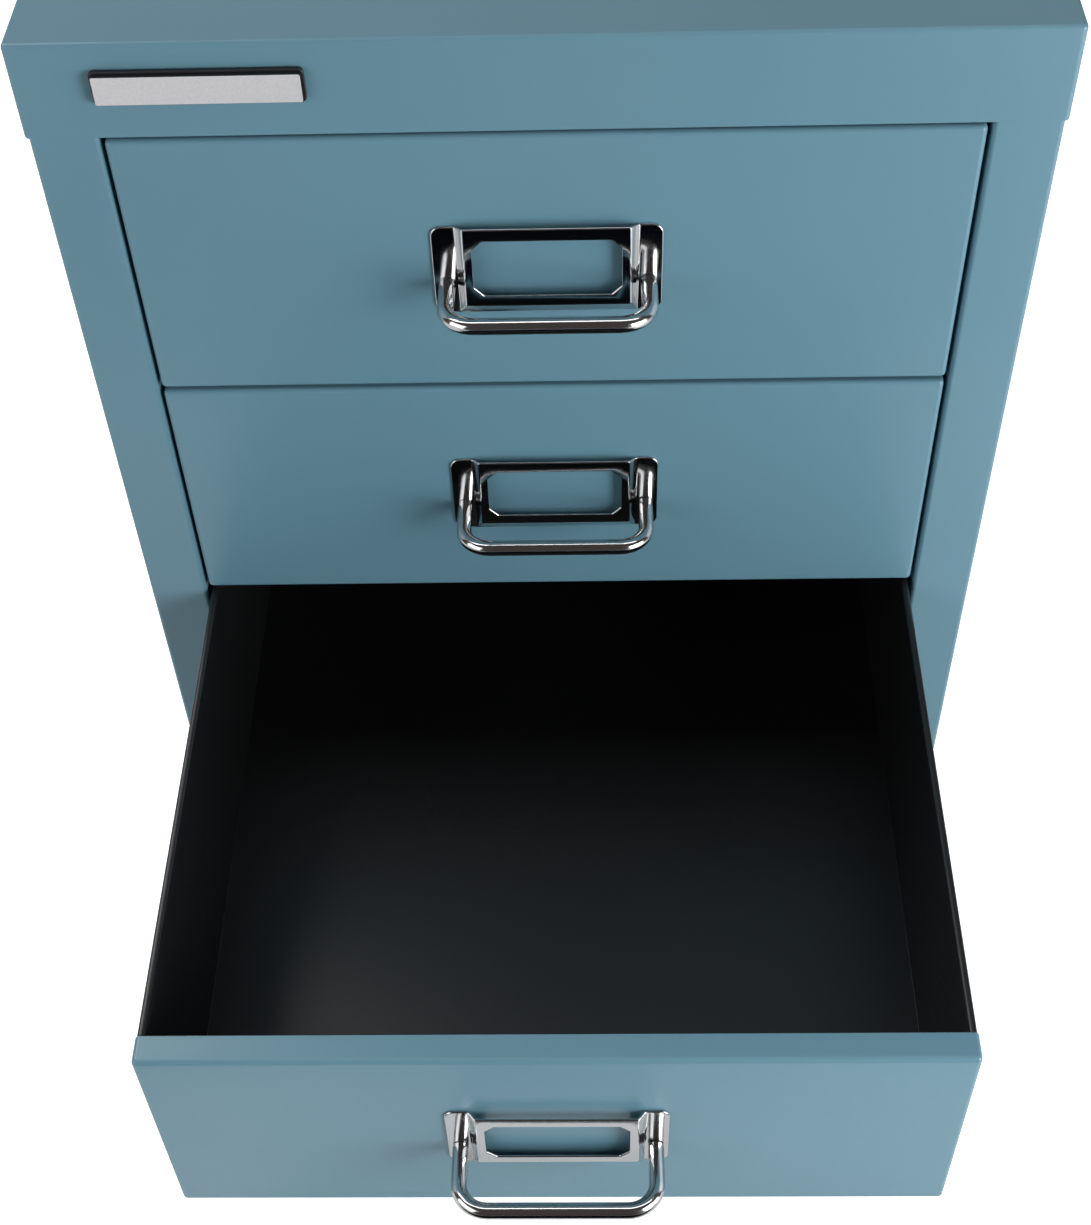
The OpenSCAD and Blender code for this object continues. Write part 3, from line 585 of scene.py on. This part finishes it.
def card_frame(low, high):
    """The outer skin of a card frame: five strips in plan, a lip below and an eight-sided window."""
    tab_face = high.y - CARD_SHEET
    step_foot = high.x - TAB_REACH - ARM_GAP - STEP_RUN * CARD_SHEET / CARD_RISE
    step_head = high.x - TAB_REACH - ARM_GAP - STEP_RUN
    plan = [(low.x, tab_face), (-step_foot, tab_face), (-step_head, low.y), (step_head, low.y),
            (step_foot, tab_face), (high.x, tab_face)]
    skin = bmesh.new()
    line = [skin.verts.new((x, y, low.z)) for x, y in plan]
    edges = [skin.edges.new(pair) for pair in zip(line, line[1:])]
    swept = bmesh.ops.extrude_edge_only(skin, edges=edges)["geom"]
    tops = [item for item in swept if isinstance(item, bmesh.types.BMVert)]
    tab_top = high.z - TAB_DROP
    for vert in tops:
        vert.co.z = high.z if vert.co.y < tab_face else tab_top
    for vert in (line[0], line[-1]):
        vert.co.z = tab_top - TAB_HEIGHT
    raised = [side for side in skin.faces if abs(side.calc_center_median().x) < step_head / 2]
    bmesh.ops.bisect_plane(skin, geom=raised + list(raised[0].edges), plane_co=Z * (low.z + LIP_HEIGHT),
                           plane_no=Z)
    feet = {line[2]: line[1], line[3]: line[4]}
    bmesh.ops.weld_verts(skin, targetmap=feet)
    skin.normal_update()
    for side in skin.faces:
        if side.normal.y > 0:
            side.normal_flip()
    corners = [vert for vert in skin.verts if abs(vert.co.x) > high.x - SAME_POINT]
    bmesh.ops.bevel(skin, geom=corners, offset=TAB_CORNER, offset_type="OFFSET", affect="VERTICES",
                    segments=FOLD_STEPS, profile=0.5, material=-1)
    folds = [edge for edge in skin.edges if len(edge.link_faces) == 2]
    bmesh.ops.bevel(skin, geom=folds, offset=PRESSED_FOLD, offset_type="OFFSET", affect="EDGES",
                    segments=PRESSED_STEPS, profile=0.5, material=-1)
    skin.normal_update()
    raised = max(skin.faces, key=lambda side: side.calc_area())
    centre = Vector((0, low.y, high.z - WINDOW_DROP - WINDOW_HEIGHT / 2))
    turn = Matrix.Rotation(math.pi / 2, 4, "X")
    size = Matrix.Diagonal((WINDOW_WIDTH, WINDOW_HEIGHT, 1, 1))
    window = bmesh.ops.create_grid(skin, x_segments=1, y_segments=1, size=0.5,
                                   matrix=Matrix.Translation(centre) @ turn @ size)["verts"]
    bmesh.ops.bevel(skin, geom=window, offset=WINDOW_CUT, offset_type="OFFSET", affect="VERTICES",
                    segments=1, profile=0.5, material=-1)
    opening = min((side for side in skin.faces if len(side.verts) == 8
                   and (side.calc_center_median() - centre).length < WINDOW_SLACK),
                  key=lambda side: side.calc_area())
    outline = list(opening.edges)
    bmesh.ops.delete(skin, geom=[opening], context="FACES_ONLY")
    pierce(skin, raised, outline)
    skin.normal_update()
    bmesh.ops.solidify(skin, geom=skin.faces, thickness=CARD_SHEET)
    for vert in skin.verts:
        vert.co = Vector(min(max(at, first), last) for at, first, last in zip(vert.co, low, high))
    return skin


roots = [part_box(f"drawer_{number}_handle_screws") for number in DRAWERS]
root_levels = [(low.z + high.z) / 2 for low, high in roots]
chrome = chrome_plate("bright chrome plate", 0.1, 0.006 * MM,
                      (root_levels[0], root_levels[0] - root_levels[1], CROWN_RADIUS))
rod_chrome = chrome_plate("chrome plate on drawn rod", 0.14, 0.006 * MM)
for number in DRAWERS:
    low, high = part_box(f"drawer_{number}_card_frame")
    holder = make_piece(f"drawer_{number}_card_holder", card_frame(low, high), chrome,
                        f"drawer_{number}", "chrome_plate", f"drawer_{number}_card_frame",
                        ease=CARD_EDGE_RADIUS)
    # The pressed folds' short edges would clamp the easing to nothing
    holder.modifiers["Eased edges"].use_clamp_overlap = False


# ---- Bow handles ----
# A 4.8 mm steel rod bent twice into a bow that rises a little outward, then chromed. Its arms are cut to
# lie flush on the card frame's tabs and tapped, and two screws from behind draw them up.
ROD_RADIUS = 2.4 * MM
ARM_LENGTH = 22.4 * MM
BEND_RADIUS = 8.7 * MM
BOW_RISE = math.radians(5)
BEND_STEPS = 18
ROD_STEPS = 36
ARM_CHAMFER = 0.3 * MM


def extruded(shape, edges, move):
    """Draws the edges on by the move, and gives the new ones at the far end."""
    grown = bmesh.ops.extrude_edge_only(shape, edges=edges)["geom"]
    bmesh.ops.translate(shape, verts=[item for item in grown if isinstance(item, bmesh.types.BMVert)],
                        vec=move)
    return [item for item in grown if isinstance(item, bmesh.types.BMEdge)
            and len(item.link_faces) == 1]


def bow(arm_x, root, tab_face):
    """The rod from arm to arm, drawn level about the roots' middle, tilted, and cut off at the tabs."""
    rod = bmesh.new()
    start = Matrix.Translation((-arm_x, 0, 0)) @ Matrix.Rotation(math.pi / 2, 4, "X")
    ring = bmesh.ops.create_circle(rod, cap_ends=False, segments=ROD_STEPS, radius=ROD_RADIUS,
                                   matrix=start)["verts"]
    end = list({edge for vert in ring for edge in vert.link_edges})
    straight = ARM_LENGTH - BEND_RADIUS
    end = extruded(rod, end, -Y * straight)
    for bend_x, run in ((BEND_RADIUS - arm_x, 2 * (arm_x - BEND_RADIUS)), (arm_x - BEND_RADIUS, 0)):
        verts = list({vert for edge in end for vert in edge.verts})
        spun = bmesh.ops.spin(rod, geom=verts + end, cent=(bend_x, -straight, 0), axis=Z,
                              angle=math.pi / 2, steps=BEND_STEPS)["geom_last"]
        end = [item for item in spun if isinstance(item, bmesh.types.BMEdge)]
        if run:
            end = extruded(rod, end, X * run)
    extruded(rod, end, Y * straight)
    bmesh.ops.rotate(rod, verts=rod.verts, cent=(0, 0, 0), matrix=Matrix.Rotation(-BOW_RISE, 3, "X"))
    bmesh.ops.translate(rod, verts=rod.verts, vec=root)
    bmesh.ops.remove_doubles(rod, verts=rod.verts, dist=SAME_POINT)
    everything = list(rod.verts) + list(rod.edges) + list(rod.faces)
    bmesh.ops.bisect_plane(rod, geom=everything, plane_co=Y * tab_face, plane_no=Y, clear_outer=True)
    bmesh.ops.holes_fill(rod, edges=[edge for edge in rod.edges if edge.is_boundary])
    bmesh.ops.recalc_face_normals(rod, faces=rod.faces)
    return rod


for number in DRAWERS:
    low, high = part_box(f"drawer_{number}_handle")
    front_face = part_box(f"drawer_{number}_front")[0].y
    root_up = high.z - ROD_RADIUS - ARM_LENGTH * math.sin(BOW_RISE)
    rod = bow(high.x - ROD_RADIUS, Vector((0, front_face, root_up)), high.y)
    make_piece(f"drawer_{number}_bow", rod, rod_chrome, f"drawer_{number}", "chrome_plate",
               f"drawer_{number}_handle", ease=ARM_CHAMFER)


# ---- Screws, slides and stop clips ----
# Pan-head screws hold each handle from inside the front. The nylon slides under the tray's rear corners
# and the clips over its hems are pushed on when the drawer is hung.
for number in DRAWERS:
    refinish(zinc_plate, "zinc_plated_steel", f"drawer_{number}_handle_screws")
    refinish(nylon, "nylon", f"drawer_{number}_slides", f"drawer_{number}_stop_clips")


# ---- Studio ----
# A white table that runs on as the backdrop, in a dim room. Soft boxes at both sides light the fronts, a
# strip overhead draws a line along folds and edges, and a black card in front darkens the chrome.
TABLE_HALF = 3.0
TABLE_WHITE = 0.8
TABLE_GLOSS = 0.14
ROOM_LIGHT = 0.01
ROOM_GLOSS = 0.07
CAMERA_PLACE = Vector((13.05, -625.39, 589.35)) * MM
CAMERA_TILT = (40.480, 1.562, 0.586)
CAMERA_LENS = 55.70
CAMERA_SHIFT = (0.0, 0.0394)
SENSOR_WIDTH = 36
BLACK_CARD_HALF = 0.32
BLACK_CARD_FAR = -1.6
BLACK_CARD_GAP = 54 * MM
BLACK_CARD_LIFT = 1 * MM
CASE_MIDDLE = Vector((0, -0.19, 0.18))
SOFT_BOXES = (
    # name, place, width, height and power
    ("key, low on the right", Vector((1.05, -0.85, 0.30)), 0.9, 0.8, 8.6),
    ("key, close on the right", Vector((0.6, -0.75, 0.35)), 0.35, 0.5, 4.5),
    ("fill, in front on the left", Vector((-1.0, -0.9, 0.6)), 1.0, 0.9, 6.6),
    ("rim, behind on the left", Vector((-0.75, 0.25, 1.1)), 0.7, 0.7, 8.2),
    ("overhead strip", Vector((0.0, -0.15, 1.6)), 1.8, 0.16, 4.7),
    ("backdrop light", Vector((0.1, 0.9, 1.0)), 1.4, 0.7, 1.3),
)


def stand(name, shape, finish):
    """Puts a thing of the studio's in the scene, which isn't part of the cabinet."""
    mesh = bpy.data.meshes.new(name)
    shape.to_mesh(mesh)
    shape.free()
    thing = bpy.data.objects.new(name, mesh)
    thing.data.materials.append(finish)
    bpy.context.scene.collection.objects.link(thing)
    return thing


def sheet_of(low, high, height):
    """A level sheet between two corners."""
    shape = bmesh.new()
    bmesh.ops.create_grid(shape, x_segments=1, y_segments=1, size=0.5)
    bmesh.ops.scale(shape, verts=shape.verts, vec=(high[0] - low[0], high[1] - low[1], 1))
    bmesh.ops.translate(shape, verts=shape.verts,
                        vec=((low[0] + high[0]) / 2, (low[1] + high[1]) / 2, height))
    return shape


white_table, table_tree, table_shader, _ = new_finish(
    "white table", Roughness=0.8, Base_Color=linear("#E6E6E6"), Emission_Color=linear("#FFFFFF"))
rays = add(table_tree, "LightPath")
mirrored_rays = add(table_tree, "Math", {0: rays.outputs["Is Glossy Ray"],
                                         1: rays.outputs["Is Transmission Ray"]}, operation="MAXIMUM")
reflected = add(table_tree, "Math", {0: mirrored_rays.outputs[0], 1: TABLE_GLOSS},
                operation="MULTIPLY")
glow = add(table_tree, "Math", {0: rays.outputs["Is Camera Ray"], 1: TABLE_WHITE,
                                2: reflected.outputs[0]}, operation="MULTIPLY_ADD")
table_tree.links.new(glow.outputs[0], table_shader.inputs["Emission Strength"])
stand("table", sheet_of((-TABLE_HALF, -TABLE_HALF), (TABLE_HALF, TABLE_HALF), 0), white_table)

black_card = new_finish("black card", Roughness=0.9, Specular_IOR_Level=0.0,
                        Base_Color=linear("#06070D"))[0]
card_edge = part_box("drawer_3_handle")[0].y - BLACK_CARD_GAP
flag = stand("black_card", sheet_of((-BLACK_CARD_HALF, BLACK_CARD_FAR), (BLACK_CARD_HALF, card_edge),
                                    BLACK_CARD_LIFT), black_card)
flag.visible_camera = False
flag.visible_diffuse = False
flag.visible_shadow = False

world = bpy.data.worlds.new("studio")
bpy.context.scene.world = world
world.use_nodes = True
sky = world.node_tree
sky.nodes.clear()
room = add(sky, "Background", {"Color": linear("#FFFFFF"), "Strength": ROOM_LIGHT})
white = add(sky, "Background", {"Color": linear("#FFFFFF"), "Strength": 1.0})
eye = add(sky, "LightPath")
gloom = add(sky, "Background", {"Color": linear("#FFEDE6"), "Strength": ROOM_GLOSS})
room_seen = add(sky, "MixShader", {0: eye.outputs["Is Glossy Ray"], 1: room.outputs[0],
                                   2: gloom.outputs[0]})
blend = add(sky, "MixShader", {0: eye.outputs["Is Camera Ray"], 1: room_seen.outputs[0],
                               2: white.outputs[0]})
add(sky, "OutputWorld", {"Surface": blend.outputs[0]})

for name, place, width, height, power in SOFT_BOXES:
    lamp = bpy.data.lights.new(name, "AREA")
    lamp.shape = "RECTANGLE"
    lamp.size = width
    lamp.size_y = height
    lamp.energy = power
    box = bpy.data.objects.new(name, lamp)
    bpy.context.scene.collection.objects.link(box)
    box.visible_camera = False
    box.location = place
    box.rotation_euler = (CASE_MIDDLE - place).to_track_quat("-Z", "Y").to_euler()

eye_lens = bpy.data.cameras.new("camera")
eye_lens.lens = CAMERA_LENS
eye_lens.sensor_width = SENSOR_WIDTH
eye_lens.shift_x, eye_lens.shift_y = CAMERA_SHIFT
camera = bpy.data.objects.new("camera", eye_lens)
bpy.context.scene.collection.objects.link(camera)
camera.location = CAMERA_PLACE
camera.rotation_euler = [math.radians(angle) for angle in CAMERA_TILT]
bpy.context.scene.camera = camera
bpy.context.scene.view_settings.view_transform = "Standard"
